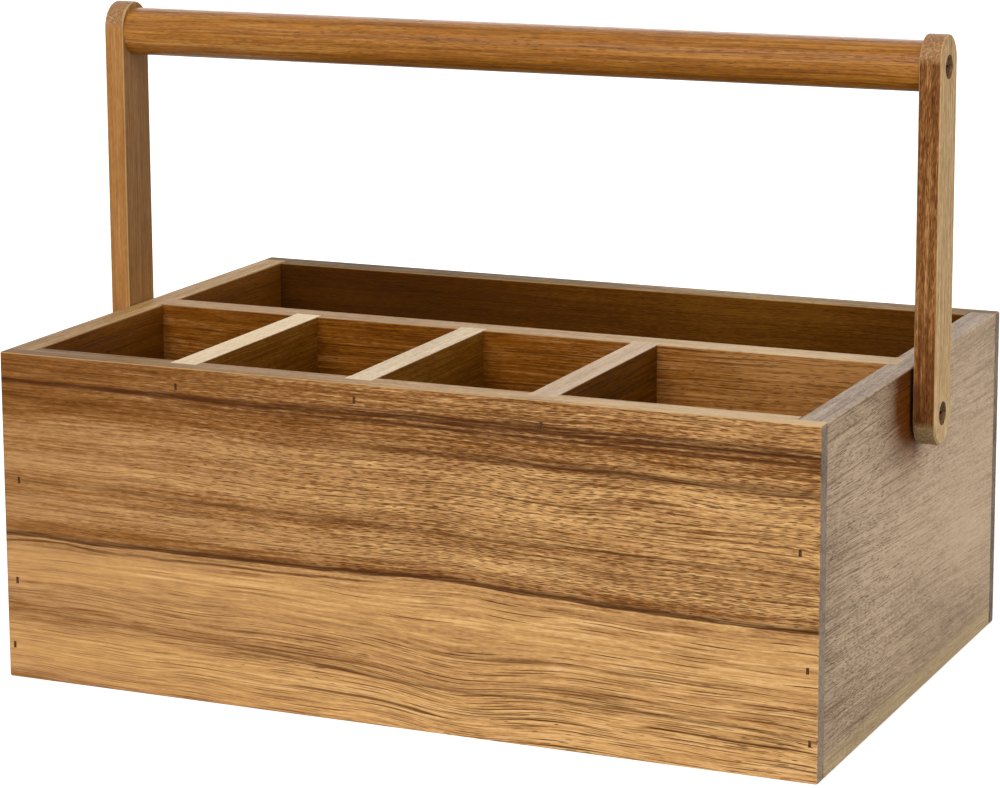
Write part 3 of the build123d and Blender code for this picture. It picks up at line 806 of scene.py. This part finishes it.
def arm_finish(name, outward, seed, edge_tones, pores, flecks, fibres, lower_shade):
    """The finish of an arm. outward is 1 or -1, the way along X that it faces out.

    pores, flecks and fibres say how lively its grain is; lower_shade darkens its edges low down.
    """
    made, tree = empty_material(name)
    along, across, through = millimetres_from(tree, "ZYX")
    waves = {"Seed": seed, "Wave Height": 2.0, "Wave Length": 50.0}
    grain = use_group(tree, grain_place, {"Place": joined(tree, along, across, through), **waves})["Grain"]
    tones = use_group(tree, wood_tone, {"Grain": grain, "Band Width": 2.2, "Fibre Width": 0.8})
    light_sizes = {"bands": 0.35, "fibres": fibres, "flecks": flecks, "shimmer": fibres / 2, "clouds": 0.4}
    light = grain_light(tree, tones, 0.5, **light_sizes)
    pore_room = {"Length": 4.5, "Width": 0.6, "Thickness": 0.3, "Density": 0.9}
    marks = use_group(tree, wood_dashes, {"Grain": grain, **pore_room})["Dashes"]
    marks = maths(tree, "MAXIMUM", marks, maths(tree, "MULTIPLY", tones["Lines"], 0.6))
    marks = maths(tree, "MULTIPLY", marks, pores)
    edge_light = maths(tree, "ADD", light, mapped(tree, along, 118.0, 150.0, lower_shade, 0.0))
    colour = blended(tree, marks, ramp(tree, edge_light, edge_tones), edge_tones[0][1])
    soft_marks = maths(tree, "MULTIPLY", marks, 0.5)
    # Both faces are paler low down.
    face_light = maths(tree, "ADD", light, mapped(tree, along, 100.0, 150.0, 0.16, 0.0))
    # The outer face with painted sheen, the inner face with painted shade.
    for side, stops in ((outward, outer_face_painted_sheen), (-outward, inner_face_painted_shade)):
        face = blended(tree, soft_marks, ramp(tree, face_light, stops), stops[0][1])
        colour = blended(tree, facing_along(tree, "X", side), colour, face)
    specks = stretched_noise(tree, grain, 0.9, 0.7, 2.0, 0.6)
    for sign, stops in ((1, pink_end), (-1, olive_end)):
        round_end = ramp(tree, swing(tree, specks, 1.4, 0.5), stops)
        colour = blended(tree, facing_along(tree, "Z", sign, 0.04, 0.22), colour, round_end)
    # A painted highlight on the eased edges beside the faces.
    side_edge_highlight = maths(tree, "MULTIPLY", edge_highlight_mask(tree), facing_along(tree, "X", 0, 0.15, 0.4))
    colour = blended(tree, maths(tree, "MULTIPLY", side_edge_highlight, 0.5), colour, tone(206, 170, 120))
    wood_surface(tree, colour, tones, marks, rough=(0.58, 0.44), ior=1.2)
    return made


right_look = {"pores": 0.75, "flecks": 0.9, "fibres": 1.2, "lower_shade": -0.22}
left_look = {"pores": 0.25, "flecks": 0.25, "fibres": 0.6, "lower_shade": -0.1}
right_arm = arm_finish("right_arm_acacia", 1, 0.91, red_edge, **right_look)
left_arm = arm_finish("left_arm_acacia", -1, 0.31, orange_edge, **left_look)
finish_node("right_handle_arm", right_arm)
finish_node("left_handle_arm", left_arm)

# ---- Dowel ----
# The grip: a turned rod, 19 mm across, of redder acacia, between the two arms.
# Hands and a thicker coat of oil have polished it, so it shines more than the boards.
dowel_low, dowel_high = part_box("handle_dowel")
dowel_middle = (0.0, 0.0, (dowel_low.z + dowel_high.z) / 2)
dowel_radius = (dowel_high.z - dowel_low.z) / 2 / millimetre
dowel_tones = three_tones((88, 46, 8), (158, 99, 32), (200, 148, 76))
dowel_wood = acacia_board(
    "dowel_acacia", "XYZ", 0.19, 0.5, dowel_tones, middle=dowel_middle, radius=dowel_radius,
    pores=0.5, fibres=0.9, bands=1.1, band_width=3.0, lines=0.8, edge_highlight_share=0.0, ior=1.29, rough=0.32,
)
finish_node("handle_dowel", dowel_wood)
